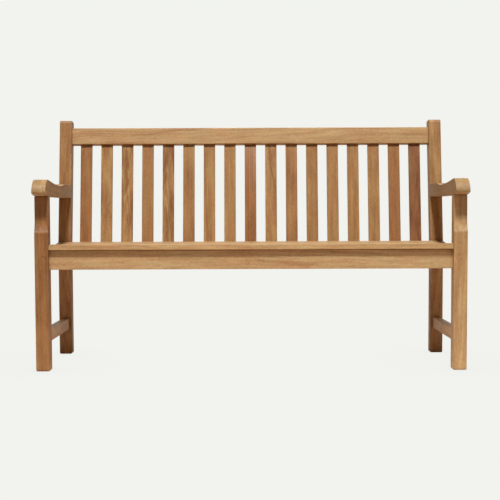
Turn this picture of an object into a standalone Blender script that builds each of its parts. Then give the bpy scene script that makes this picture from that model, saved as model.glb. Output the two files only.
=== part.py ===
"""Slatted teak garden bench with a raked back and scooped arms.

The bench is a pegged mortise-and-tenon frame: two front legs, two rear posts, two arms, side
rails and stretchers, a front rail, two back rails and a centre bearer carry seventeen back
slats and six seat slats.  +X is to the right of a person who faces the bench, -Y is the front
and +Z is up; "left" and "right" in the names are that person's.  While the pieces are made, Y
is measured from the front faces of the front legs; the empty "bench" then moves the whole
bench so that the origin lies on the ground under the centre of its bounding box.
"""
from math import cos, hypot, pi, radians, sin, tan

import bmesh
import bpy
from mathutils import Matrix, Vector

# Driving dimensions, in metres.
WIDTH = 1.500                 # across the arms and the outer faces of the legs
LEG = 0.048                   # section of legs, posts and arms
POST_SETBACK = 0.460          # front face of the legs to front face of the posts
RAKE = radians(8.77)          # lean of the back
BEND_Z = 0.428                # height where the posts start to lean
POST_LENGTH = 0.4933          # leaning part of a post, along its slope
SEAT_FRONT_Z = 0.4435         # seat surface, projected to the front of the legs
SEAT_REAR_Z = 0.4395          # seat surface, projected to the front of the posts
SEAT_SAG = 0.015              # depth of the dished seat
RAIL_BOTTOM_Z = 0.354         # underside of the front and side rails
FRONT_RAIL_Y = 0.016          # front face of the front rail
BEARER_BOTTOM_Z = 0.372       # underside of the centre bearer
ARM_BOTTOM_Z = 0.610          # underside of the arms

BACK_RAIL_HEIGHT = 0.065      # both back rails
RAIL_THICKNESS = 0.026        # front rail and lower back rail
TOP_RAIL_THICKNESS = 0.033
BEARER_THICKNESS = 0.028      # side rails and centre bearer
TOP_RAIL_BASE = 0.3986        # underside of the top rail, up the slope from the bend
LOW_RAIL_TOP = 0.001          # top of the lower back rail, up the slope from the bend

BACK_SLAT_WIDTH = 0.045
BACK_SLAT_PITCH = 0.0808      # from one back slat to the next
BACK_SLAT_THICKNESS = 0.012
SLAT_HOUSING = 0.015          # how far a back slat enters each rail

SEAT_SLATS = 6
SEAT_SLAT_WIDTH = 0.068
SEAT_SLAT_THICKNESS = 0.020
SEAT_SLAT_INSET = 0.001       # how far the long seat slats end inside the outer faces
SEAT_START_Y = 0.002          # front edge of the first seat slat
SEAT_END_Y = 0.4575           # rear edge of the last seat slat
BEARER_DROP = 0.0008          # play between the slats and the facets of a dished bearer
RAIL_DROP = 0.0006            # play between the first slat and the front rail

STRETCHER_WIDTH = 0.030
STRETCHER_BOTTOM_Z = 0.097
STRETCHER_TOP_Z = 0.139

LEG_STEP_Z = 0.482            # the ledge on the face of a front leg
LEG_COVE_TOP_Z = 0.532        # where the cove above the ledge ends
LEG_CUTBACK = 0.012           # how far the leg is cut back above the cove

NOSE_Y = -0.037               # tip of the arm, in front of the legs
NOSE_BOTTOM_Z = 0.616         # the underside rises to here from the face of the leg
NOSE_UNDER_ROUND = 0.006
NOSE_BLEND = 1.6              # exponent of the nose's curve; 2 is an ellipse, 1 a straight chamfer
CREST_Y = 0.010
CREST_Z = 0.6665
CREST_EASE = 0.035            # how far the crest's level line holds before the scoop
SCOOP_Y = 0.262
SCOOP_Z = 0.6500
SCOOP_EASE = 0.110            # how far the scoop is level in front of its lowest point
SHOULDER_Y = 0.365
SHOULDER_Z = 0.6598
SHOULDER_EASE = 0.045         # the same on both ends of the rise to the shoulder

TENON_THICKNESS = 0.012       # tenons of the long rails and the centre bearer
TENON_HEIGHT = 0.022
TENON_DEPTH = 0.035           # how far a long rail's tenon enters a leg or post
LOW_TENON_RISE = 0.0195       # side rails' tenons, above the underside of the rail
HIGH_TENON_RISE = 0.0465      # front rail's tenons, which pass above those
SIDE_TENON_THICKNESS = 0.014
SIDE_TENON_DEPTH = 0.028
STRETCHER_TENON_HEIGHT = 0.026
LOW_BACK_TENON_DROP = 0.023   # centre of the lower back rail's tenons, below its top
LOW_BACK_TENON_HEIGHT = 0.024
TOP_TENON_HEIGHT = 0.040
NECK_TENON = (0.024, 0.022, 0.040)
NECK_TENON_RISE = 0.010       # its centre, above the underside of the arm
ARM_TENON = (0.024, 0.044, 0.030)
ARM_TENON_Z = 0.6345
ARM_TENON_SHIFT = 0.008       # its centre, behind the face of the post
BEARER_TENON_DEPTH = 0.012
BEARER_TENON_Z = 0.390
PEG_RADIUS = 0.005
PEG_LENGTH = 0.038
PEG_SIDES = 16
PEG_BORE_OVERRUN = 0.004      # how far a peg's hole runs on past the peg
FRONT_PEG_Y = 0.036           # pegs through the tenons in a front leg
REAR_PEG_Y = 0.474            # pegs through the tenons in a rear post
NECK_PEG_RISE = 0.017
ARM_PEG_SHIFT = 0.016
GAP = 0.0003                  # play between pieces that touch
TENON_ROOT = 0.010            # how far the block that makes a tenon reaches into its own rail

EDGE_ROUND = 0.003
FOOT_ROUND = 0.0055
POST_TOP_ROUND = 0.010
SLAT_ROUND = 0.002
ROUNDING_SEGMENTS = 3
SHARP_ANGLE = radians(20)     # an edge that turns less is part of a curve
MERGE = 0.00001               # points closer than this are one point

INNER_X = WIDTH / 2 - LEG     # inner faces of legs and posts
LEG_X = WIDTH / 2 - LEG / 2   # their centres
NOSE_TIP_Z = NOSE_BOTTOM_Z + NOSE_UNDER_ROUND
REAR_Y = (POST_SETBACK + (POST_LENGTH - POST_TOP_ROUND) * sin(RAKE)
          + (LEG - POST_TOP_ROUND) * cos(RAKE) + POST_TOP_ROUND)
CENTRE_Y = (NOSE_Y + REAR_Y) / 2

# Timber tones (sRGB), from the palest board to the darkest.
TIMBER_ROUGHNESS = 0.55
TONES = {
    "straw": (0.745, 0.610, 0.430),
    "golden": (0.733, 0.588, 0.408),
    "honey": (0.667, 0.494, 0.318),
    "amber": (0.643, 0.467, 0.294),
    "russet": (0.624, 0.431, 0.271),
    "chestnut": (0.588, 0.408, 0.251),
    "umber": (0.565, 0.376, 0.243),
}
BACK_SLAT_TONES = (
    "russet", "honey", "honey", "amber", "amber", "amber", "honey", "honey", "russet",
    "honey", "amber", "amber", "honey", "honey", "honey", "russet", "umber",
)
SIDES = {"left": -1, "right": 1}


# ---------------------------------------------------------------- scene and materials

def clear_scene():
    """Remove every object of the open scene."""
    for old in list(bpy.data.objects):
        bpy.data.objects.remove(old, do_unlink=True)


def new_collection(name):
    """Make a collection in the scene."""
    collection = bpy.data.collections.new(name)
    bpy.context.scene.collection.children.link(collection)
    return collection


def linear(channel):
    """Turn one sRGB channel into scene-linear light."""
    if channel <= 0.04045:
        return channel / 12.92
    return ((channel + 0.055) / 1.055) ** 2.4


def timber(tone):
    """The oiled teak material of one tone, made once."""
    name = "teak_" + tone
    material = bpy.data.materials.get(name)
    if material is None:
        material = bpy.data.materials.new(name)
        material.use_nodes = True
        shader = material.node_tree.nodes["Principled BSDF"]
        shader.inputs["Base Color"].default_value = [linear(c) for c in TONES[tone]] + [1.0]
        shader.inputs["Roughness"].default_value = TIMBER_ROUGHNESS
        shader.inputs["Metallic"].default_value = 0.0
    return material


def new_empty(name, location, parent=None, lean=0.0):
    """An empty that carries pieces; lean tips its Z axis back over +Y."""
    empty = bpy.data.objects.new(name, None)
    BENCH.objects.link(empty)
    empty.location = location
    empty.rotation_euler.x = -lean
    empty.parent = parent
    return empty


# ---------------------------------------------------------------- meshes

def box_mesh(name, size):
    """A box of the given size, centred on its own origin."""
    mesh = bpy.data.meshes.new(name)
    bm = bmesh.new()
    bmesh.ops.create_cube(bm, size=1.0)
    bmesh.ops.scale(bm, vec=size, verts=bm.verts)
    bm.to_mesh(mesh)
    bm.free()
    return mesh


def rod_mesh(name, radius, length):
    """A round rod along Z, centred on its own origin."""
    mesh = bpy.data.meshes.new(name)
    bm = bmesh.new()
    bmesh.ops.create_cone(
        bm, cap_ends=True, segments=PEG_SIDES, radius1=radius, radius2=radius, depth=length)
    bm.to_mesh(mesh)
    bm.free()
    mesh.shade_smooth()
    mesh.set_sharp_from_angle(angle=radians(40))
    return mesh


def outline_mesh(name, outline, thickness):
    """A closed outline of (y, z) points extruded along X, centred on X = 0."""
    curve = bpy.data.curves.new(name, "CURVE")
    curve.dimensions = "2D"
    curve.fill_mode = "BOTH"
    curve.extrude = thickness / 2
    spline = curve.splines.new("POLY")
    spline.points.add(len(outline) - 1)
    for point, (y, z) in zip(spline.points, outline):
        point.co = (y, z, 0.0, 1.0)
    spline.use_cyclic_u = True
    guide = bpy.data.objects.new(name, curve)
    BENCH.objects.link(guide)
    evaluated = guide.evaluated_get(bpy.context.evaluated_depsgraph_get())
    mesh = bpy.data.meshes.new_from_object(evaluated)
    bpy.data.objects.remove(guide, do_unlink=True)
    bm = bmesh.new()
    bm.from_mesh(mesh)
    bmesh.ops.remove_doubles(bm, verts=bm.verts, dist=MERGE)
    bmesh.ops.dissolve_limit(bm, angle_limit=radians(0.5), verts=bm.verts, edges=bm.edges)
    bmesh.ops.recalc_face_normals(bm, faces=bm.faces)
    bm.to_mesh(mesh)
    bm.free()
    mesh.transform(Matrix(((0, 0, 1, 0), (1, 0, 0, 0), (0, 1, 0, 0), (0, 0, 0, 1))))
    return mesh


def weigh_edges(mesh, radius_of, largest):
    """Give each sharp edge the bevel weight of the radius that radius_of wants for it."""
    bm = bmesh.new()
    bm.from_mesh(mesh)
    weight = bm.edges.layers.float.new("bevel_weight_edge")
    for edge in bm.edges:
        if edge.calc_face_angle(0.0) > SHARP_ANGLE:
            start, end = (vert.co for vert in edge.verts)
            edge[weight] = radius_of((start + end) / 2, (end - start).normalized()) / largest
    bm.to_mesh(mesh)
    bm.free()


# ---------------------------------------------------------------- pieces

def add_piece(name, mesh, tone, radius_of, largest, location=(0, 0, 0), parent=None):
    """One part of the bench; radius_of rounds each of its edges, by at most largest."""
    piece = bpy.data.objects.new(name, mesh)
    BENCH.objects.link(piece)
    piece.location = location
    piece.parent = parent or bench
    mesh.materials.append(timber(tone))
    weigh_edges(mesh, radius_of, largest)
    rounding = piece.modifiers.new("rounded_edges", "BEVEL")
    rounding.limit_method = "WEIGHT"
    rounding.width = largest
    rounding.segments = ROUNDING_SEGMENTS
    return piece


def all_edges(radius):
    """A rule that rounds every edge alike."""
    return lambda middle, along: radius


def long_edges(radius, axis):
    """A rule that rounds only the edges along one axis, where the ends are hidden in joints."""
    return lambda middle, along: radius if abs(along[axis]) > 0.9 else 0.0


def add_cutter(name, mesh, location, parent):
    """A hidden solid that shapes pieces through their Boolean modifiers."""
    cutter = bpy.data.objects.new(name, mesh)
    CUTTERS.objects.link(cutter)
    cutter.location = location
    cutter.parent = parent or bench
    cutter.hide_render = True
    cutter.display_type = "WIRE"
    return cutter


def combine(piece, tool, operation):
    """Join a hidden solid to a piece, or cut it out of the piece."""
    modifier = piece.modifiers.new(tool.name, "BOOLEAN")
    modifier.operation = operation
    modifier.solver = "EXACT"
    modifier.object = tool


def add_tenon(guest, host, name, centre, size, parent=None):
    """Give the guest a tenon and the host the mortise that holds it."""
    tenon = add_cutter(name + "_tenon", box_mesh(name, size), centre, parent)
    combine(guest, tenon, "UNION")
    room = [side + 2 * GAP for side in size]
    mortise = add_cutter(name + "_mortise", box_mesh(name, room), centre, parent)
    combine(host, mortise, "DIFFERENCE")


def add_peg(name, pieces, head, direction, parent=None):
    """A dowel driven in from head along direction, and its hole through the pieces."""
    direction = Vector(direction).normalized()
    turn = direction.to_track_quat("Z", "Y").to_euler()
    peg = bpy.data.objects.new(name, rod_mesh(name, PEG_RADIUS, PEG_LENGTH))
    BENCH.objects.link(peg)
    peg.data.materials.append(timber("umber"))
    peg.location = Vector(head) + direction * PEG_LENGTH / 2
    peg.rotation_euler = turn
    peg.parent = parent or bench
    bore = rod_mesh(name, PEG_RADIUS + GAP, PEG_LENGTH + PEG_BORE_OVERRUN)
    middle = Vector(head) + direction * ((PEG_LENGTH - PEG_BORE_OVERRUN) / 2 + GAP)
    hole = add_cutter(name + "_hole", bore, middle, parent)
    hole.rotation_euler = turn
    for piece in pieces:
        combine(piece, hole, "DIFFERENCE")


# ---------------------------------------------------------------- shape formulas

def seat_height(y):
    """Height of the dished seat surface at depth y."""
    along = y / POST_SETBACK
    chord = SEAT_FRONT_Z + (SEAT_REAR_Z - SEAT_FRONT_Z) * along
    return chord - SEAT_SAG * (1 - (2 * along - 1) ** 2)


def seat_slope(y):
    """Slope of the dished seat surface at depth y."""
    along = y / POST_SETBACK
    return (SEAT_REAR_Z - SEAT_FRONT_Z + 4 * SEAT_SAG * (2 * along - 1)) / POST_SETBACK


def seat_slat_centres():
    """Depths of the centres of the seat slats, front to back."""
    first = SEAT_START_Y + SEAT_SLAT_WIDTH / 2
    last = SEAT_END_Y - SEAT_SLAT_WIDTH / 2
    step = (last - first) / (SEAT_SLATS - 1)
    return [first + step * index for index in range(SEAT_SLATS)]


def bearer_top(start, end):
    """Top line of a bearer from depth start to end, one facet under each seat slat."""
    centres = seat_slat_centres()
    breaks = [(a + b) / 2 for a, b in zip(centres, centres[1:])]
    depths = [start] + [y for y in breaks if start < y < end] + [end]
    return [(y, seat_height(y) - SEAT_SLAT_THICKNESS - BEARER_DROP) for y in depths]


def post_front(z):
    """Depth of a rear post's front face at height z."""
    return POST_SETBACK + max(0.0, z - BEND_Z) * tan(RAKE)


def low_rail_front(z):
    """Depth of the lower back rail's front face at height z."""
    inset = (LEG - RAIL_THICKNESS) / 2
    return POST_SETBACK + inset / cos(RAKE) + (z - BEND_Z) * tan(RAKE)


def arc(centre, radius, start, end, steps):
    """Points of a round arc; angles in degrees, anticlockwise from +Y."""
    angles = [radians(start + (end - start) * step / steps) for step in range(steps + 1)]
    return [(centre[0] + radius * cos(a), centre[1] + radius * sin(a)) for a in angles]


def bezier(start, start_handle, end_handle, end, steps):
    """Points of a cubic curve between two (y, z) points."""
    points = []
    for step in range(steps + 1):
        t = step / steps
        blend = ((1 - t) ** 3, 3 * t * (1 - t) ** 2, 3 * t * t * (1 - t), t ** 3)
        corners = (start, start_handle, end_handle, end)
        points.append(tuple(sum(b * c[axis] for b, c in zip(blend, corners)) for axis in (0, 1)))
    return points


# ---------------------------------------------------------------- outlines

def front_leg_outline():
    """Side view of a front leg: a plain post with a cove and a cut-back neck above the seat."""
    rise = LEG_COVE_TOP_Z - LEG_STEP_Z
    radius = hypot(rise, LEG_CUTBACK) ** 2 / (2 * LEG_CUTBACK)
    centre = (LEG_CUTBACK - radius, LEG_COVE_TOP_Z)
    facets = 6
    cove = []
    for step in range(facets + 1):
        z = LEG_STEP_Z + rise * step / facets
        cove.append((centre[0] + (radius ** 2 - (z - centre[1]) ** 2) ** 0.5, z))
    top = ARM_BOTTOM_Z - GAP
    return [(0.0, 0.0), (LEG, 0.0), (LEG, top), (LEG_CUTBACK, top)] + cove[::-1]


def rear_post_outline():
    """Side view of a rear post: upright to the bend, then leaning back."""
    up = Vector((sin(RAKE), cos(RAKE)))
    back = Vector((cos(RAKE), -sin(RAKE)))
    bend = Vector((POST_SETBACK, BEND_Z))
    rear_bend_z = BEND_Z - LEG * tan(RAKE / 2)
    front_top = bend + up * POST_LENGTH
    rear_top = front_top + back * LEG
    return [
        (POST_SETBACK, 0.0),
        (POST_SETBACK + LEG, 0.0),
        (POST_SETBACK + LEG, rear_bend_z),
        tuple(rear_top),
        tuple(front_top),
        tuple(bend),
    ]


def arm_outline():
    """Side view of an arm: rounded nose, crest, long scoop and a shoulder in front of the post."""
    tip_centre = (NOSE_Y + NOSE_UNDER_ROUND, NOSE_TIP_Z)
    under = [(0.0, ARM_BOTTOM_Z)] + arc(tip_centre, NOSE_UNDER_ROUND, 270, 180, 4)
    nose = []
    reach = CREST_Y - NOSE_Y
    rise = CREST_Z - NOSE_TIP_Z
    steps = 12
    for step in range(1, steps + 1):
        angle = pi / 2 * step / steps
        y = CREST_Y - reach * cos(angle) ** (2 / NOSE_BLEND)
        nose.append((y, NOSE_TIP_Z + rise * sin(angle) ** (2 / NOSE_BLEND)))
    scoop = bezier(
        (CREST_Y, CREST_Z), (CREST_Y + CREST_EASE, CREST_Z),
        (SCOOP_Y - SCOOP_EASE, SCOOP_Z), (SCOOP_Y, SCOOP_Z), 14)[1:]
    shoulder = bezier(
        (SCOOP_Y, SCOOP_Z), (SCOOP_Y + SHOULDER_EASE, SCOOP_Z),
        (SHOULDER_Y - SHOULDER_EASE, SHOULDER_Z), (SHOULDER_Y, SHOULDER_Z), 9)[1:]
    heel = [
        (post_front(SHOULDER_Z) - GAP, SHOULDER_Z),
        (post_front(ARM_BOTTOM_Z) - GAP, ARM_BOTTOM_Z),
    ]
    return under + nose + scoop + shoulder + heel


# ---------------------------------------------------------------- sub-assemblies

def make_front_legs():
    """Two front legs, with a chamfered foot."""
    def radius_of(middle, along):
        return FOOT_ROUND if middle.z < MERGE else EDGE_ROUND
    legs = {}
    for side, sign in SIDES.items():
        name = "front_leg_" + side
        mesh = outline_mesh(name, front_leg_outline(), LEG)
        tone = "chestnut" if side == "left" else "golden"
        legs[side] = add_piece(name, mesh, tone, radius_of, FOOT_ROUND, (sign * LEG_X, 0, 0))
    return legs


def make_rear_posts():
    """Two rear posts, with a chamfered foot and a well rounded top."""
    def radius_of(middle, along):
        if middle.z < MERGE:
            return FOOT_ROUND
        crosswise = abs(along.x) > 0.9
        above = middle.z > BEND_Z + POST_LENGTH * cos(RAKE) - LEG * sin(RAKE) - MERGE
        return POST_TOP_ROUND if crosswise and above else EDGE_ROUND
    posts = {}
    for side, sign in SIDES.items():
        name = "rear_post_" + side
        mesh = outline_mesh(name, rear_post_outline(), LEG)
        tone = "russet" if side == "left" else "honey"
        posts[side] = add_piece(name, mesh, tone, radius_of, POST_TOP_ROUND, (sign * LEG_X, 0, 0))
    return posts


def make_arms():
    """Two arms, square at the post and rounded at the nose."""
    arms = {}
    for side, sign in SIDES.items():
        name = "arm_" + side
        mesh = outline_mesh(name, arm_outline(), LEG)
        arms[side] = add_piece(
            name, mesh, "straw", all_edges(EDGE_ROUND), EDGE_ROUND, (sign * LEG_X, 0, 0))
    return arms


def lower_edges(middle, along):
    """Round only the bottom edges of a bearer; slats and joints cover its other edges."""
    return SLAT_ROUND if abs(along.y) > 0.9 and middle.z < BEARER_BOTTOM_Z + MERGE else 0.0


def make_side_rails():
    """Dished rails that carry the ends of the seat slats, leg to post."""
    start = LEG + GAP
    end = POST_SETBACK - GAP
    outline = [(end, RAIL_BOTTOM_Z), (start, RAIL_BOTTOM_Z)] + bearer_top(start, end)
    rails = {}
    for side, sign in SIDES.items():
        name = "side_rail_" + side
        mesh = outline_mesh(name, outline, BEARER_THICKNESS)
        rails[side] = add_piece(
            name, mesh, "amber", lower_edges, SLAT_ROUND, (sign * LEG_X, 0, 0))
    return rails


def make_side_stretchers():
    """Low stretchers between each front leg and rear post."""
    start = LEG + GAP
    end = POST_SETBACK - GAP
    size = (STRETCHER_WIDTH, end - start, STRETCHER_TOP_Z - STRETCHER_BOTTOM_Z)
    middle_z = (STRETCHER_TOP_Z + STRETCHER_BOTTOM_Z) / 2
    stretchers = {}
    for side, sign in SIDES.items():
        name = "side_stretcher_" + side
        place = (sign * LEG_X, (start + end) / 2, middle_z)
        stretchers[side] = add_piece(
            name, box_mesh(name, size), "golden", long_edges(EDGE_ROUND, 1), EDGE_ROUND, place)
    return stretchers


def make_front_rail():
    """The rail under the front seat slat; its top follows the slat's tilt."""
    rear_y = FRONT_RAIL_Y + RAIL_THICKNESS
    slat_y = seat_slat_centres()[0]
    slope = seat_slope(slat_y)
    under = seat_height(slat_y) - SEAT_SLAT_THICKNESS / cos(slope) - RAIL_DROP
    outline = [
        (FRONT_RAIL_Y, RAIL_BOTTOM_Z),
        (rear_y, RAIL_BOTTOM_Z),
        (rear_y, under + slope * (rear_y - slat_y)),
        (FRONT_RAIL_Y, under + slope * (FRONT_RAIL_Y - slat_y)),
    ]
    mesh = outline_mesh("front_rail", outline, 2 * (INNER_X - GAP))
    return add_piece("front_rail", mesh, "golden", long_edges(SLAT_ROUND, 0), SLAT_ROUND)


def make_back_rail(name, base, thickness):
    """A rail of the back, base metres up the slope from the bend."""
    size = (2 * (INNER_X - GAP), thickness, BACK_RAIL_HEIGHT)
    place = (0, LEG / 2, base + BACK_RAIL_HEIGHT / 2)
    rounding = long_edges(EDGE_ROUND, 0)
    return add_piece(name, box_mesh(name, size), "golden", rounding, EDGE_ROUND, place, back)


def make_centre_bearer():
    """The dished bearer that carries the middle of the seat slats."""
    start = FRONT_RAIL_Y + RAIL_THICKNESS + GAP
    rear_top_z = seat_height(POST_SETBACK) - SEAT_SLAT_THICKNESS
    end = low_rail_front(BEARER_BOTTOM_Z) - GAP / cos(RAKE)
    top = bearer_top(start, low_rail_front(rear_top_z) - GAP / cos(RAKE))
    outline = [(end, BEARER_BOTTOM_Z), (start, BEARER_BOTTOM_Z)] + top
    mesh = outline_mesh("centre_bearer", outline, BEARER_THICKNESS)
    return add_piece("centre_bearer", mesh, "amber", lower_edges, SLAT_ROUND)


def make_back_slats(top_rail, low_rail):
    """Seventeen upright slats housed in both back rails."""
    bottom = LOW_RAIL_TOP - SLAT_HOUSING
    top = TOP_RAIL_BASE + SLAT_HOUSING
    size = (BACK_SLAT_WIDTH, BACK_SLAT_THICKNESS, top - bottom)
    room = [side + 2 * GAP for side in size]
    for index, tone in enumerate(BACK_SLAT_TONES):
        name = "back_slat_%02d" % (index + 1)
        x = (index - (len(BACK_SLAT_TONES) - 1) / 2) * BACK_SLAT_PITCH
        place = (x, LEG / 2, (top + bottom) / 2)
        mesh = box_mesh(name, size)
        add_piece(name, mesh, tone, long_edges(SLAT_ROUND, 2), SLAT_ROUND, place, back)
        housing = add_cutter(name + "_housing", box_mesh(name, room), place, back)
        combine(top_rail, housing, "DIFFERENCE")
        combine(low_rail, housing, "DIFFERENCE")


def make_seat_slats():
    """Six seat slats; the first sits between the legs, the others cover the side rails."""
    def radius_of(middle, along):
        return EDGE_ROUND if middle.z > 0 else SLAT_ROUND
    for index, y in enumerate(seat_slat_centres()):
        name = "seat_slat_%d" % (index + 1)
        length = 2 * INNER_X if index == 0 else WIDTH - 2 * SEAT_SLAT_INSET
        size = (length - 2 * GAP, SEAT_SLAT_WIDTH, SEAT_SLAT_THICKNESS)
        slope = seat_slope(y)
        centre_z = seat_height(y) - SEAT_SLAT_THICKNESS / 2 / cos(slope)
        mesh = box_mesh(name, size)
        slat = add_piece(name, mesh, "golden", radius_of, EDGE_ROUND, (0, y, centre_z))
        slat.rotation_euler.x = slope


# ---------------------------------------------------------------- joints

def join_side_frames(legs, posts, arms, rails, stretchers):
    """Tenons and pegs of the two side frames."""
    low_tenon_z = RAIL_BOTTOM_Z + LOW_TENON_RISE
    stretcher_z = (STRETCHER_TOP_Z + STRETCHER_BOTTOM_Z) / 2
    reach = SIDE_TENON_DEPTH + TENON_ROOT
    front_y = LEG - SIDE_TENON_DEPTH + reach / 2
    rear_y = POST_SETBACK + SIDE_TENON_DEPTH - reach / 2
    for side, sign in SIDES.items():
        x = sign * LEG_X
        outer = sign * WIDTH / 2
        inward = (-sign, 0, 0)
        rail_size = (SIDE_TENON_THICKNESS, reach, TENON_HEIGHT)
        add_tenon(rails[side], legs[side], "side_rail_front_" + side,
                  (x, front_y, low_tenon_z), rail_size)
        add_tenon(rails[side], posts[side], "side_rail_rear_" + side,
                  (x, rear_y, low_tenon_z), rail_size)
        low_size = (SIDE_TENON_THICKNESS, reach, STRETCHER_TENON_HEIGHT)
        add_tenon(stretchers[side], legs[side], "stretcher_front_" + side,
                  (x, front_y, stretcher_z), low_size)
        add_tenon(stretchers[side], posts[side], "stretcher_rear_" + side,
                  (x, rear_y, stretcher_z), low_size)
        neck_y = (LEG + LEG_CUTBACK) / 2
        add_tenon(legs[side], arms[side], "leg_top_" + side,
                  (x, neck_y, ARM_BOTTOM_Z + NECK_TENON_RISE), NECK_TENON)
        post_y = post_front(ARM_TENON_Z)
        add_tenon(arms[side], posts[side], "arm_rear_" + side,
                  (x, post_y + ARM_TENON_SHIFT, ARM_TENON_Z), ARM_TENON)
        add_peg("side_rail_peg_front_" + side, (rails[side], legs[side]),
                (outer, FRONT_PEG_Y, low_tenon_z), inward)
        add_peg("side_rail_peg_rear_" + side, (rails[side], posts[side]),
                (outer, REAR_PEG_Y, low_tenon_z), inward)
        add_peg("stretcher_peg_front_" + side, (stretchers[side], legs[side]),
                (outer, FRONT_PEG_Y, stretcher_z), inward)
        add_peg("stretcher_peg_rear_" + side, (stretchers[side], posts[side]),
                (outer, REAR_PEG_Y, stretcher_z), inward)
        add_peg("arm_peg_front_" + side, (legs[side], arms[side]),
                (outer, neck_y, ARM_BOTTOM_Z + NECK_PEG_RISE), inward)
        add_peg("arm_peg_rear_" + side, (arms[side], posts[side]),
                (outer, post_y + ARM_PEG_SHIFT, ARM_TENON_Z), inward)


def join_long_rails(legs, posts, front_rail, low_rail, top_rail):
    """Tenons and pegs between the long rails and the side frames."""
    reach = TENON_DEPTH + TENON_ROOT
    front_rail_y = FRONT_RAIL_Y + RAIL_THICKNESS / 2
    high_tenon_z = RAIL_BOTTOM_Z + HIGH_TENON_RISE
    low_rail_s = LOW_RAIL_TOP - LOW_BACK_TENON_DROP
    top_rail_s = TOP_RAIL_BASE + BACK_RAIL_HEIGHT / 2
    for side, sign in SIDES.items():
        x = sign * (INNER_X + TENON_DEPTH - reach / 2)
        peg_x = sign * (INNER_X + TENON_DEPTH / 2)
        add_tenon(front_rail, legs[side], "front_rail_" + side,
                  (x, front_rail_y, high_tenon_z), (reach, TENON_THICKNESS, TENON_HEIGHT))
        add_tenon(low_rail, posts[side], "low_back_rail_" + side,
                  (x, LEG / 2, low_rail_s),
                  (reach, TENON_THICKNESS, LOW_BACK_TENON_HEIGHT), back)
        add_tenon(top_rail, posts[side], "top_rail_" + side,
                  (x, LEG / 2, top_rail_s), (reach, TENON_THICKNESS, TOP_TENON_HEIGHT), back)
        add_peg("front_rail_peg_" + side, (front_rail, legs[side]),
                (peg_x, 0.0, high_tenon_z), (0, 1, 0))
        low_peg_z = BEND_Z + low_rail_s * cos(RAKE) - LEG / 2 * sin(RAKE)
        add_peg("low_back_rail_peg_" + side, (low_rail, posts[side]),
                (peg_x, POST_SETBACK + LEG, low_peg_z), (0, -1, 0))
        add_peg("top_rail_peg_" + side, (top_rail, posts[side]),
                (peg_x, LEG, top_rail_s), (0, -1, 0), back)


def join_centre_bearer(bearer, front_rail, low_rail):
    """The short tenons of the centre bearer."""
    reach = BEARER_TENON_DEPTH + TENON_ROOT
    size = (TENON_THICKNESS, reach, TENON_HEIGHT)
    front_y = FRONT_RAIL_Y + RAIL_THICKNESS - BEARER_TENON_DEPTH + reach / 2
    rear_y = low_rail_front(BEARER_TENON_Z) + BEARER_TENON_DEPTH - reach / 2
    add_tenon(bearer, front_rail, "bearer_front", (0, front_y, BEARER_TENON_Z), size)
    add_tenon(bearer, low_rail, "bearer_rear", (0, rear_y, BEARER_TENON_Z), size)


clear_scene()
BENCH = new_collection("garden_bench")
CUTTERS = new_collection("cutters")
bench = new_empty("bench", (0, -CENTRE_Y, 0))
back = new_empty("back", (0, POST_SETBACK, BEND_Z), bench, RAKE)

front_legs = make_front_legs()
rear_posts = make_rear_posts()
side_arms = make_arms()
side_rails = make_side_rails()
side_stretchers = make_side_stretchers()
seat_rail = make_front_rail()
crest_rail = make_back_rail("top_rail", TOP_RAIL_BASE, TOP_RAIL_THICKNESS)
lower_rail_base = LOW_RAIL_TOP - BACK_RAIL_HEIGHT
lower_rail = make_back_rail("lower_back_rail", lower_rail_base, RAIL_THICKNESS)
middle_bearer = make_centre_bearer()
make_back_slats(crest_rail, lower_rail)
make_seat_slats()
join_side_frames(front_legs, rear_posts, side_arms, side_rails, side_stretchers)
join_long_rails(front_legs, rear_posts, seat_rail, lower_rail, crest_rail)
join_centre_bearer(middle_bearer, seat_rail, lower_rail)
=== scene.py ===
"""Looks of a teak garden bench: smooth-sanded boards with their own grain, plugs over the seat's
screws, soft studio light and a camera in front of the bench.

Metres, +Z up. The bench faces -Y; +X is the viewer's right.
"""

import math
import random

import bmesh
import bpy
from mathutils import Matrix, Vector


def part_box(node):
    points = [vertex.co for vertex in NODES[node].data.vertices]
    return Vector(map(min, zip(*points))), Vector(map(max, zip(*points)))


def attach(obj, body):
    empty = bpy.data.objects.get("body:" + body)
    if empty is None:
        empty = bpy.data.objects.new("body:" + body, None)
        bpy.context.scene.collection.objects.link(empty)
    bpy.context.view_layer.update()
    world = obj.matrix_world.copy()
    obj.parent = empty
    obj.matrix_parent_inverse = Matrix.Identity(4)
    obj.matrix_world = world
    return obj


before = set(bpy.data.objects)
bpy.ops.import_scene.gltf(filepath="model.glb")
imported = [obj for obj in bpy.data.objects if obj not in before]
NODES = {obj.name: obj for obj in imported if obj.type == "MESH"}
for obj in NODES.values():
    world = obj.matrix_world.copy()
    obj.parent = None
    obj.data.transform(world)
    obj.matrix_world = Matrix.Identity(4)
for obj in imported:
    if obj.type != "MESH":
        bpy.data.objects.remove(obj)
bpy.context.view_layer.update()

# Boards ------------------------------------------------------------------------------------
RAKE = math.radians(8.77)      # lean of the back
POST_RAKE = math.radians(4.5)  # about the mean lean of a rear post, upright below the seat

# Directions of the grain, each as the turn that lays Z along it
UPRIGHT = (0.0, 0.0, 0.0)
ALONG_X = (0.0, math.radians(90), 0.0)
ALONG_Y = (math.radians(-90), 0.0, 0.0)
UP_THE_BACK = (-RAKE, 0.0, 0.0)
UP_THE_POST = (-POST_RAKE, 0.0, 0.0)
ACROSS_THE_BACK = (math.radians(-90) - RAKE, 0.0, 0.0)

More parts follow.
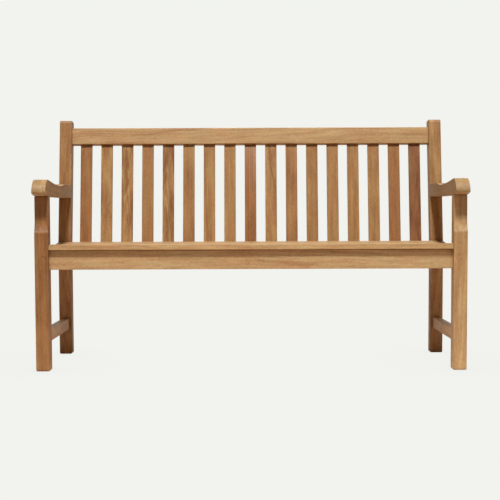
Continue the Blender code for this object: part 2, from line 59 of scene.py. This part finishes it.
# Tones of oiled teak, sRGB
TONES = {
    "pale": (0.775, 0.640, 0.450),
    "golden": (0.750, 0.603, 0.410),
    "sand": (0.705, 0.568, 0.376),
    "honey": (0.680, 0.512, 0.312),
    "amber": (0.662, 0.487, 0.292),
    "russet": (0.640, 0.445, 0.258),
    "chestnut": (0.605, 0.422, 0.243),
    "umber": (0.570, 0.380, 0.224),
}

# Figure: how far the pith lies behind and beside the face, how many degrees it leans towards
# the face, the contrast of the growth bands, how far they wander and how mottled the wood is
FIGURES = {
    "straight": dict(behind=0.030, beside=0.150, lean=0.6, contrast=0.60, wander=0.006, mottle=0.8),
    "fine": dict(behind=0.080, beside=0.090, lean=1.2, contrast=0.55, wander=0.010, mottle=1.1),
    "arched": dict(behind=0.016, beside=0.006, lean=2.6, contrast=1.75, wander=0.034, mottle=2.8),
    "flowing": dict(behind=0.040, beside=0.026, lean=2.5, contrast=0.90, wander=0.034, mottle=1.7),
    "calm": dict(behind=0.060, beside=0.030, lean=1.6, contrast=0.60, wander=0.030, mottle=0.5),
    "plain": dict(behind=0.120, beside=0.060, lean=1.0, contrast=0.35, wander=0.014, mottle=0.5),
}

# The back slats' tones and figures, from left to right
BACK_SLATS = (
    ("russet", "fine"),
    ("honey", "flowing"),
    ("honey", "arched"),
    ("amber", "plain"),
    ("amber", "arched"),
    ("amber", "fine"),
    ("honey", "fine"),
    ("honey", "plain"),
    ("russet", "straight"),
    ("honey", "flowing"),
    ("amber", "fine"),
    ("amber", "fine"),
    ("honey", "plain"),
    ("honey", "fine"),
    ("honey", "fine"),
    ("russet", "plain"),
    ("umber", "flowing"),
)
SEAT_SLATS = 6
ARM_FIGURES = {"left": "fine", "right": "calm"}
PALE_PEG = "front_rail_peg_right"
BOARD_SEED = 11
PLUG_SEED = 5


def peg_grain(name):
    """The direction that a peg was driven in."""
    if name.startswith(("side_rail", "stretcher", "arm")):
        return ALONG_X
    if name.startswith("front_rail"):
        return ALONG_Y
    return ACROSS_THE_BACK


def board_table():
    """For each CAD node: its tone, its figure and the direction of its grain."""
    table = {
        "front_leg_left": ("chestnut", "fine", UPRIGHT),
        "front_leg_right": ("golden", "calm", UPRIGHT),
        "rear_post_left": ("amber", "fine", UP_THE_POST),
        "rear_post_right": ("honey", "fine", UP_THE_POST),
        "front_rail": ("pale", "calm", ALONG_X),
        "top_rail": ("golden", "calm", ALONG_X),
        "lower_back_rail": ("golden", "calm", ALONG_X),
        "centre_bearer": ("amber", "fine", ALONG_Y),
    }
    for side, arm_figure in ARM_FIGURES.items():
        table["arm_" + side] = ("sand", arm_figure, ALONG_Y)
        table["side_rail_" + side] = ("amber", "straight", ALONG_Y)
        table["side_stretcher_" + side] = ("golden", "fine", ALONG_Y)
    for place, (tone, figure) in enumerate(BACK_SLATS, start=1):
        table[f"back_slat_{place:02d}"] = (tone, figure, UP_THE_BACK)
    for place in range(1, SEAT_SLATS + 1):
        table[f"seat_slat_{place}"] = ("golden", "calm", ALONG_X)
    for name in NODES:
        if "_peg_" in name:
            tone = "golden" if name == PALE_PEG else "chestnut"
            table[name] = (tone, "plain", peg_grain(name))
    return table


# Node trees --------------------------------------------------------------------------------
# Sockets that are taken by number
MIX_FIRST = 6
MIX_SECOND = 7
MIX_COLOUR = 2
SECOND_OUTPUT = 1
THIRD_OUTPUT = 2
TEXTURE_NORMAL = 1
TEXTURE_OBJECT = 3


def linear(srgb):
    """An sRGB colour as linear RGBA, by the standard's own curve."""
    return tuple(c / 12.92 if c <= 0.04045 else ((c + 0.055) / 1.055) ** 2.4 for c in srgb) + (1.0,)


def feed(tree, value, socket):
    """Links a socket, or sets the input to a plain value."""
    if isinstance(value, bpy.types.NodeSocket):
        tree.links.new(value, socket)
    else:
        socket.default_value = value


def add(tree, kind, *values, out=0, **settings):
    """Adds a shader node, fills its inputs in order (None leaves one alone) and returns an output."""
    node = tree.nodes.new("ShaderNode" + kind)
    for key, value in settings.items():
        setattr(node, key, value)
    for value, socket in zip(values, node.inputs):
        if value is not None:
            feed(tree, value, socket)
    return node.outputs[out]


def calc(tree, operation, *values, clamp=False):
    """A Math node."""
    return add(tree, "Math", *values, operation=operation, use_clamp=clamp)


def ramp(tree, value, low, high, to_low=0.0, to_high=1.0):
    """Maps low..high to to_low..to_high with a smooth step."""
    return add(tree, "MapRange", value, low, high, to_low, to_high, interpolation_type="SMOOTHSTEP")


def mix(tree, factor, a, b, mode="MIX"):
    """Mixes two colours."""
    node = tree.nodes.new("ShaderNodeMix")
    node.data_type = "RGBA"
    node.blend_type = mode
    feed(tree, factor, node.inputs["Factor"])
    feed(tree, a, node.inputs[MIX_FIRST])
    feed(tree, b, node.inputs[MIX_SECOND])
    return node.outputs[MIX_COLOUR]


def times(tree, colour, factors):
    """A colour with its red, green and blue each times a factor."""
    return mix(tree, 1.0, colour, factors, "MULTIPLY")


def swing(tree, noise, weight):
    """Noise as a swing to both sides of zero, times its weight."""
    return calc(tree, "MULTIPLY", calc(tree, "SUBTRACT", noise, 0.5), weight)


def share(tree, value, weight):
    """A value times its weight."""
    return calc(tree, "MULTIPLY", value, weight)


def grain_noise(tree, point, cell, detail, roughness=0.5, out=0):
    """Noise with the grain on Z; cell is a cell's width across and its length along the grain."""
    across, along = cell
    scaled = add(tree, "VectorMath", point, (1 / across, 1 / across, 1 / along), operation="MULTIPLY")
    return add(tree, "TexNoise", scaled, None, 1.0, detail, roughness, out=out)


def occlusion(tree, reach, **settings):
    """How open a point is to its surroundings within reach: 0 hidden, 1 open."""
    return add(tree, "AmbientOcclusion", None, reach, out=SECOND_OUTPUT, **settings)


# Teak --------------------------------------------------------------------------------------
RING = 0.0043                 # width of one year's growth
BAND = 0.012                  # width of the darker and lighter groups of rings
RING_SHARPNESS = 3.0          # how late in the year the wood turns dark
BAND_DETAIL = 2.5
BAND_ROUGHNESS = 0.6
WANDER_NOISE = dict(cell=(0.06, 0.40), detail=1.5)                      # bends of the pith line
STREAK_NOISE = dict(cell=(0.006, 0.22), detail=2.0)
FIBRE_NOISE = dict(cell=(0.0011, 0.035), detail=3.0, roughness=0.6)
CLOUD_NOISE = dict(cell=(0.026, 0.11), detail=2.5)                      # broad lighter areas
FLECK_NOISE = dict(cell=(0.0045, 0.009), detail=2.0, roughness=0.6)
PORE_NOISE = dict(cell=(0.0006, 0.012), detail=1.0)
PORE_CUT = (0.60, 0.72)       # the part of the noise that makes a pore

# How far each feature moves the wood between its dark and its light colour
BAND_WEIGHT = 1.35
RING_WEIGHT = 0.5
STREAK_WEIGHT = 0.65
FIBRE_WEIGHT = 0.65
FLECK_WEIGHT = 0.60
MIDDLE = 0.54

# Factors on the board's tone
DARK_WOOD = (0.62, 0.43, 0.33, 1.0)
LIGHT_WOOD = (1.32, 1.49, 1.62, 1.0)
RED_PATCH = (1.01, 0.96, 0.93, 1.0)
GREY_PATCH = (0.98, 1.03, 1.02, 1.0)
PATCH_CUT = (0.35, 0.65)      # the part of the noise between red and grey

PORE_COLOUR = (0.10, 0.045, 0.018, 1.0)
PORE_SHADE = 0.45             # how much of that colour a pore takes

# End grain, wear, grime with painted shade, lighter low parts, with factors on the colour below them
END_GRAIN = (0.84, 0.82, 0.74, 1.0)
END_CUT = (0.75, 0.96)        # how squarely a face cuts the grain
WORN = (1.30, 1.30, 1.28, 1.0)
EDGE_REACH = 0.005            # how far wear reaches in from an edge
EDGE_FLOOR = 0.25             # wear between the raised fibres
EDGE_WEAR = 0.4
# Darkening for grime and painted shade in corners
GRIME_AND_PAINTED_SHADE = (0.42, 0.33, 0.26, 1.0)
CREVICE_REACH = 0.014         # how far grime and painted shade reach out of a corner
GRIME_AND_SHADE_SHARE = 0.55
# Colour factor for the lowest parts, which are lighter towards the bottom
LOW_LIGHTENING = (1.10, 1.22, 1.32, 1.0)
LOW_LIGHTENING_HEIGHTS = (0.24, 0.04)  # the colour turns lighter from here down to here
LOW_LIGHTENING_SHARE = 0.55
EDGE_SAMPLES = 6

# Roughness and relief
SMOOTH = 0.36
FIBRE_ROUGHNESS = 0.22
PORE_ROUGHNESS = 0.18
END_ROUGHNESS = 0.12
FIBRE_RELIEF = 0.55
RING_RELIEF = 0.35
PORE_RELIEF = 0.6
RELIEF = 0.00035              # height of the raised grain
RELIEF_STRENGTH = 0.45
SPECULAR = 0.5

TEAK_INPUTS = (
    ("Pith", "NodeSocketVector", (0.0, 0.0, 0.0)),
    ("Turn", "NodeSocketVector", (0.0, 0.0, 0.0)),
    ("Tone", "NodeSocketColor", (0.5, 0.3, 0.15, 1.0)),
    ("Contrast", "NodeSocketFloat", 0.5),
    ("Wander", "NodeSocketFloat", 0.01),
    ("Mottle", "NodeSocketFloat", 1.0),
)
TEAK_OUTPUTS = (
    ("Colour", "NodeSocketColor"),
    ("Roughness", "NodeSocketFloat"),
    ("Normal", "NodeSocketVector"),
)


def teak_group():
    """The node group that every board shares. It cuts each board from its own log: rings run
    round a pith line, and fibres, pores and colour streaks run along it."""
    tree = bpy.data.node_groups.new("teak", "ShaderNodeTree")
    for name, kind, default in TEAK_INPUTS:
        tree.interface.new_socket(name, in_out="INPUT", socket_type=kind).default_value = default
    for name, kind in TEAK_OUTPUTS:
        tree.interface.new_socket(name, in_out="OUTPUT", socket_type=kind)
    given = tree.nodes.new("NodeGroupInput").outputs
    result = tree.nodes.new("NodeGroupOutput").inputs

    place = add(tree, "TexCoord", out=TEXTURE_OBJECT)
    point = add(tree, "Mapping", place, given["Pith"], given["Turn"], vector_type="TEXTURE")
    normal = add(tree, "TexCoord", out=TEXTURE_NORMAL)
    facing = add(tree, "Mapping", normal, None, given["Turn"], vector_type="TEXTURE")

    # Rings: distance from a pith line that wanders
    wandering = grain_noise(tree, point, **WANDER_NOISE, out=SECOND_OUTPUT)
    shift = add(tree, "VectorMath", wandering, (0.5, 0.5, 0.5), operation="SUBTRACT")
    shift = add(tree, "VectorMath", shift, None, None, given["Wander"], operation="SCALE")
    bent = add(tree, "VectorMath", point, shift, operation="ADD")
    flat = add(tree, "VectorMath", bent, (1.0, 1.0, 0.0), operation="MULTIPLY")
    radius = add(tree, "VectorMath", flat, operation="LENGTH", out=SECOND_OUTPUT)
    bands = calc(tree, "DIVIDE", radius, BAND)
    noise = (None, bands, 1.0, BAND_DETAIL, BAND_ROUGHNESS)
    band = add(tree, "TexNoise", *noise, noise_dimensions="1D")
    season = calc(tree, "FRACT", calc(tree, "DIVIDE", radius, RING))
    ring = calc(tree, "POWER", season, RING_SHARPNESS)

    streak = grain_noise(tree, point, **STREAK_NOISE)
    fibre = grain_noise(tree, point, **FIBRE_NOISE)
    cloud = grain_noise(tree, point, **CLOUD_NOISE, out=SECOND_OUTPUT)
    broad = add(tree, "SeparateColor", cloud)
    patch = add(tree, "SeparateColor", cloud, out=SECOND_OUTPUT)
    fleck = grain_noise(tree, point, **FLECK_NOISE)
    pore = ramp(tree, grain_noise(tree, point, **PORE_NOISE), *PORE_CUT)
    pore = calc(tree, "MULTIPLY", pore, calc(tree, "SUBTRACT", 1.0, ring))

    # Light and dark wood
    lightness = swing(tree, band, BAND_WEIGHT)
    lightness = calc(tree, "SUBTRACT", lightness, share(tree, ring, share(tree, broad, RING_WEIGHT)))
    lightness = calc(tree, "MULTIPLY", lightness, given["Contrast"])
    for noise, weight in (
        (streak, STREAK_WEIGHT),
        (fibre, FIBRE_WEIGHT),
        (fleck, FLECK_WEIGHT),
        (broad, given["Mottle"]),
    ):
        lightness = calc(tree, "ADD", lightness, swing(tree, noise, weight))
    lightness = calc(tree, "ADD", lightness, MIDDLE, clamp=True)
    dark = times(tree, given["Tone"], DARK_WOOD)
    light = times(tree, given["Tone"], LIGHT_WOOD)
    colour = mix(tree, lightness, dark, light)

    # Redder and greyer patches, dark pores
    tint = mix(tree, ramp(tree, patch, *PATCH_CUT), RED_PATCH, GREY_PATCH)
    colour = times(tree, colour, tint)
    colour = mix(tree, share(tree, pore, PORE_SHADE), colour, PORE_COLOUR)

    # End grain drinks more oil, edges are worn paler, corners keep grime with painted shade, the
    # lowest parts are lighter
    along = add(tree, "SeparateXYZ", facing, out=THIRD_OUTPUT)
    end = ramp(tree, calc(tree, "ABSOLUTE", along), *END_CUT)
    colour = mix(tree, end, colour, times(tree, colour, END_GRAIN))
    inner = occlusion(tree, EDGE_REACH, inside=True, only_local=True, samples=EDGE_SAMPLES)
    raised = calc(tree, "ADD", fibre, EDGE_FLOOR)
    edge = calc(tree, "MULTIPLY", calc(tree, "SUBTRACT", 1.0, inner), raised, clamp=True)
    colour = mix(tree, share(tree, edge, EDGE_WEAR), colour, times(tree, colour, WORN))
    # Painted shade with grime: the colour darkens where ambient occlusion finds a corner
    outer = occlusion(tree, CREVICE_REACH, samples=EDGE_SAMPLES)
    grime_and_shade = calc(tree, "MULTIPLY", calc(tree, "SUBTRACT", 1.0, outer), GRIME_AND_SHADE_SHARE, clamp=True)
    colour = mix(tree, grime_and_shade, colour, times(tree, colour, GRIME_AND_PAINTED_SHADE))
    # Lighter towards the bottom, by height above the floor
    above_ground = add(tree, "SeparateXYZ", place, out=THIRD_OUTPUT)
    low_lightening = ramp(tree, above_ground, *LOW_LIGHTENING_HEIGHTS, 0.0, LOW_LIGHTENING_SHARE)
    colour = mix(tree, low_lightening, colour, times(tree, colour, LOW_LIGHTENING))
    tree.links.new(colour, result["Colour"])

    rough = calc(tree, "ADD", share(tree, fibre, FIBRE_ROUGHNESS), SMOOTH)
    rough = calc(tree, "ADD", rough, share(tree, pore, PORE_ROUGHNESS))
    rough = calc(tree, "ADD", rough, share(tree, end, END_ROUGHNESS), clamp=True)
    tree.links.new(rough, result["Roughness"])

    relief = calc(tree, "ADD", share(tree, fibre, FIBRE_RELIEF), share(tree, ring, RING_RELIEF))
    relief = calc(tree, "SUBTRACT", relief, share(tree, pore, PORE_RELIEF))
    bump = tree.nodes.new("ShaderNodeBump")
    bump.inputs["Strength"].default_value = RELIEF_STRENGTH
    bump.inputs["Distance"].default_value = RELIEF
    tree.links.new(relief, bump.inputs["Height"])
    tree.links.new(bump.outputs["Normal"], result["Normal"])
    return tree


TEAK = teak_group()
SIDEWAYS_LEAN = 0.3        # the most that a pith leans sideways, as a share of its lean
PITH_SPREAD = (0.8, 1.2)   # how much a pith's distance differs from log to log


def board_material(name, low, high, tone, figure, grain, draw):
    """Teak for one board: its own tone, its own log."""
    cut = FIGURES[figure]
    lean = math.radians(cut["lean"])
    tilt = Vector((draw.choice((-1, 1)), draw.uniform(-SIDEWAYS_LEAN, SIDEWAYS_LEAN), 0.0))
    beside = draw.choice((-1, 1)) * cut["beside"] * draw.uniform(*PITH_SPREAD)
    behind = cut["behind"] * draw.uniform(*PITH_SPREAD)
    across = Vector((0, 0, beside)) if grain == ALONG_X else Vector((beside, 0, 0))
    material = bpy.data.materials.new("teak_" + name)
    material.use_nodes = True
    tree = material.node_tree
    shader = tree.nodes["Principled BSDF"]
    group = tree.nodes.new("ShaderNodeGroup")
    group.node_tree = TEAK
    group.inputs["Pith"].default_value = (low + high) / 2 + across + Vector((0, behind, 0))
    group.inputs["Turn"].default_value = Vector(grain) + tilt * lean
    group.inputs["Tone"].default_value = linear(TONES[tone])
    group.inputs["Contrast"].default_value = cut["contrast"]
    group.inputs["Wander"].default_value = cut["wander"]
    group.inputs["Mottle"].default_value = cut["mottle"]
    tree.links.new(group.outputs["Colour"], shader.inputs["Base Color"])
    tree.links.new(group.outputs["Roughness"], shader.inputs["Roughness"])
    tree.links.new(group.outputs["Normal"], shader.inputs["Normal"])
    shader.inputs["Specular IOR Level"].default_value = SPECULAR
    return material


# Surfaces of the CAD boards ------------------------------------------------------------------
WELD = 0.00002
ARRIS = 0.0007
ARRIS_SEGMENTS = 2
SHARP = math.radians(32)


def soften(obj):
    """Joins the faces of a board and breaks its last sharp edges, with hardened normals beside them.
    """
    weld = obj.modifiers.new("weld", "WELD")
    weld.merge_threshold = WELD
    arris = obj.modifiers.new("arris", "BEVEL")
    arris.width = ARRIS
    arris.segments = ARRIS_SEGMENTS
    arris.limit_method = "ANGLE"
    arris.angle_limit = SHARP
    arris.harden_normals = True


def dress_boards():
    """Gives every CAD board its own teak and fine broken edges."""
    draw = random.Random(BOARD_SEED)
    for name, (tone, figure, grain) in board_table().items():
        obj = NODES[name]
        low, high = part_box(name)
        material = board_material(name, low, high, tone, figure, grain, draw)
        for place in obj.material_slots:
            place.material = material
        soften(obj)


# Plugs over the seat's screws ----------------------------------------------------------------
PLUG_RADIUS = 0.0052
PLUG_PROUD = 0.0003     # how far a plug stands above the slat
PLUG_SUNK = 0.0020      # how deep it sits in the slat
PLUG_BREAK = 0.0005     # its broken upper edge
PLUG_BREAK_SEGMENTS = 3
PLUG_BREAK_PROFILE = 0.6
PLUG_SIDES = 32
PLUG_INSET = 0.017      # from the slat's edges to a plug's centre
PLUG_SEARCH = 1.0       # how far above the slat the search for its surface starts
BEARERS = ("side_rail_left", "centre_bearer", "side_rail_right")


def plug_mesh(mesh, centre, normal):
    """Adds one plug to a bmesh: a short dowel with a broken upper edge, square to the slat."""
    made = bmesh.ops.create_cone(
        mesh,
        cap_ends=True,
        segments=PLUG_SIDES,
        radius1=PLUG_RADIUS,
        radius2=PLUG_RADIUS,
        depth=PLUG_PROUD + PLUG_SUNK,
    )
    top = [v for v in made["verts"] if v.co.z > 0]
    rim = [e for v in top for e in v.link_edges if all(w.co.z > 0 for w in e.verts)]
    turn = normal.to_track_quat("Z", "Y").to_matrix().to_4x4()
    middle = centre + normal * (PLUG_PROUD - PLUG_SUNK) / 2
    bmesh.ops.transform(mesh, matrix=Matrix.Translation(middle) @ turn, verts=made["verts"])
    bmesh.ops.bevel(
        mesh,
        geom=list(set(rim)),
        offset=PLUG_BREAK,
        segments=PLUG_BREAK_SEGMENTS,
        affect="EDGES",
        profile=PLUG_BREAK_PROFILE,
    )


def seat_plugs():
    """Two plugs in each seat slat over each side rail and over the centre bearer."""
    draw = random.Random(PLUG_SEED)
    down = Vector((0, 0, -1))
    for place in range(1, SEAT_SLATS + 1):
        name = f"seat_slat_{place}"
        slat = NODES[name]
        low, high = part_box(name)
        mesh = bmesh.new()
        for bearer in BEARERS:
            bearer_low, bearer_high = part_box(bearer)
            x = (bearer_low.x + bearer_high.x) / 2
            x = min(max(x, low.x + PLUG_INSET), high.x - PLUG_INSET)
            for y in (low.y + PLUG_INSET, high.y - PLUG_INSET):
                start = Vector((x, y, high.z + PLUG_SEARCH))
                hit, where, normal, _ = slat.ray_cast(start, down)
                if hit:
                    plug_mesh(mesh, where, normal)
        data = bpy.data.meshes.new(name + "_plugs")
        mesh.to_mesh(data)
        mesh.free()
        data.shade_smooth()
        data.set_sharp_from_angle(angle=SHARP)
        plugs = bpy.data.objects.new(name + "_plugs", data)
        bpy.context.scene.collection.objects.link(plugs)
        material = board_material(plugs.name, low, high, "amber", "straight", UPRIGHT, draw)
        data.materials.append(material)
        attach(plugs, "root")


# Studio --------------------------------------------------------------------------------------
# Colours here are linear
PAPER = (0.888, 0.896, 0.855, 1.0)         # backdrop and floor, as the camera sees them
BACKDROP = (0.80, 0.78, 0.74, 1.0)         # the lit paper behind the bench, as the boards see it
BACKDROP_RISE = (0.35, 0.75)               # the +Y share of a direction where it fades in
FILL = (0.16, 0.125, 0.105, 1.0)           # warm light of the room, from all around

FLOOR_SIZE = 60.0
FLOOR_CELLS = 8
FLOOR_DROP = 0.0005                        # keeps the floor clear of the feet
FLOOR_SHADE = 0.10                         # depth of the contact shadow
FLOOR_SHADE_REACH = 0.35
FLOOR_SHADE_SAMPLES = 16
LIT_FLOOR = (0.86, 0.68, 0.58, 1.0)        # under and round the bench, as the boards see it
ROOM_FLOOR = (0.25, 0.20, 0.17, 1.0)       # farther away
LIT_FLOOR_EDGE = (1.3, 3.0)                # the lit floor fades out between these distances

LAMP_AIM = (0.0, 0.0, 0.5)
KEY_PLACE = (0.0, -4.9, 9.2)
KEY_SIZE = 1.4
KEY_POWER = 112.0
KEY_SPREAD = math.radians(60)


def world_light():
    """Warm fill with a lit backdrop behind the bench; the camera sees the pale paper."""
    world = bpy.data.worlds.new("studio")
    bpy.context.scene.world = world
    world.use_nodes = True
    tree = world.node_tree
    tree.nodes.clear()
    seen = add(tree, "Background", PAPER, 1.0)
    backward = add(tree, "SeparateXYZ", add(tree, "TexCoord"), out=SECOND_OUTPUT)
    around = mix(tree, ramp(tree, backward, *BACKDROP_RISE), FILL, BACKDROP)
    fill = add(tree, "Background", around, 1.0)
    surface = add(tree, "MixShader", add(tree, "LightPath"), fill, seen)
    output = tree.nodes.new("ShaderNodeOutputWorld")
    tree.links.new(surface, output.inputs["Surface"])


def floor():
    """A wide pale floor of the backdrop's own colour, which takes a faint shadow."""
    mesh = bmesh.new()
    bmesh.ops.create_grid(mesh, x_segments=FLOOR_CELLS, y_segments=FLOOR_CELLS, size=FLOOR_SIZE / 2)
    data = bpy.data.meshes.new("floor")
    mesh.to_mesh(data)
    mesh.free()
    obj = bpy.data.objects.new("floor", data)
    bpy.context.scene.collection.objects.link(obj)
    obj.location.z = -FLOOR_DROP
    material = bpy.data.materials.new("floor_paper")
    material.use_nodes = True
    tree = material.node_tree
    tree.nodes.clear()
    open_sky = occlusion(tree, FLOOR_SHADE_REACH, samples=FLOOR_SHADE_SAMPLES)
    shade = share(tree, calc(tree, "SUBTRACT", 1.0, open_sky), FLOOR_SHADE)
    seen = add(tree, "Emission", PAPER, calc(tree, "SUBTRACT", 1.0, shade))
    place = add(tree, "TexCoord", out=TEXTURE_OBJECT)
    away = add(tree, "VectorMath", place, operation="LENGTH", out=SECOND_OUTPUT)
    bounced = mix(tree, ramp(tree, away, *LIT_FLOOR_EDGE), LIT_FLOOR, ROOM_FLOOR)
    surface = add(tree, "MixShader", add(tree, "LightPath"), add(tree, "BsdfDiffuse", bounced), seen)
    output = tree.nodes.new("ShaderNodeOutputMaterial")
    tree.links.new(surface, output.inputs["Surface"])
    data.materials.append(material)


def key_lamp():
    """The one lamp: soft, high in front of the bench and aimed at it."""
    light = bpy.data.lights.new("key", "AREA")
    light.shape = "ELLIPSE"
    light.size = KEY_SIZE
    light.size_y = KEY_SIZE
    light.energy = KEY_POWER
    light.spread = KEY_SPREAD
    obj = bpy.data.objects.new("key", light)
    bpy.context.scene.collection.objects.link(obj)
    obj.location = KEY_PLACE
    obj.rotation_euler = (Vector(LAMP_AIM) - Vector(KEY_PLACE)).to_track_quat("-Z", "Y").to_euler()
    obj.visible_camera = False


# Camera: a little above the seat, square to the bench, far enough away for a flat view
CAMERA_PLACE = (-0.0103, -3.9028, 0.5500)
CAMERA_YAW = 0.00169
CAMERA_PITCH = 0.05880
CAMERA_ROLL = 0.00369
CAMERA_LENS = 75.6
CAMERA_SENSOR = 36.0
CAMERA_SHIFT_Y = 0.0489


def camera():
    """The camera that the scene renders from."""
    data = bpy.data.cameras.new("camera")
    data.lens = CAMERA_LENS
    data.sensor_width = CAMERA_SENSOR
    data.shift_y = CAMERA_SHIFT_Y
    obj = bpy.data.objects.new("camera", data)
    bpy.context.scene.collection.objects.link(obj)
    level = Matrix.Rotation(math.radians(90) - CAMERA_PITCH, 4, "X")
    turned = Matrix.Rotation(-CAMERA_YAW, 4, "Z") @ level @ Matrix.Rotation(-CAMERA_ROLL, 4, "Z")
    obj.matrix_world = Matrix.Translation(CAMERA_PLACE) @ turned
    bpy.context.scene.camera = obj


dress_boards()
seat_plugs()
world_light()
floor()
key_lamp()
camera()
bpy.context.scene.view_settings.view_transform = "Standard"
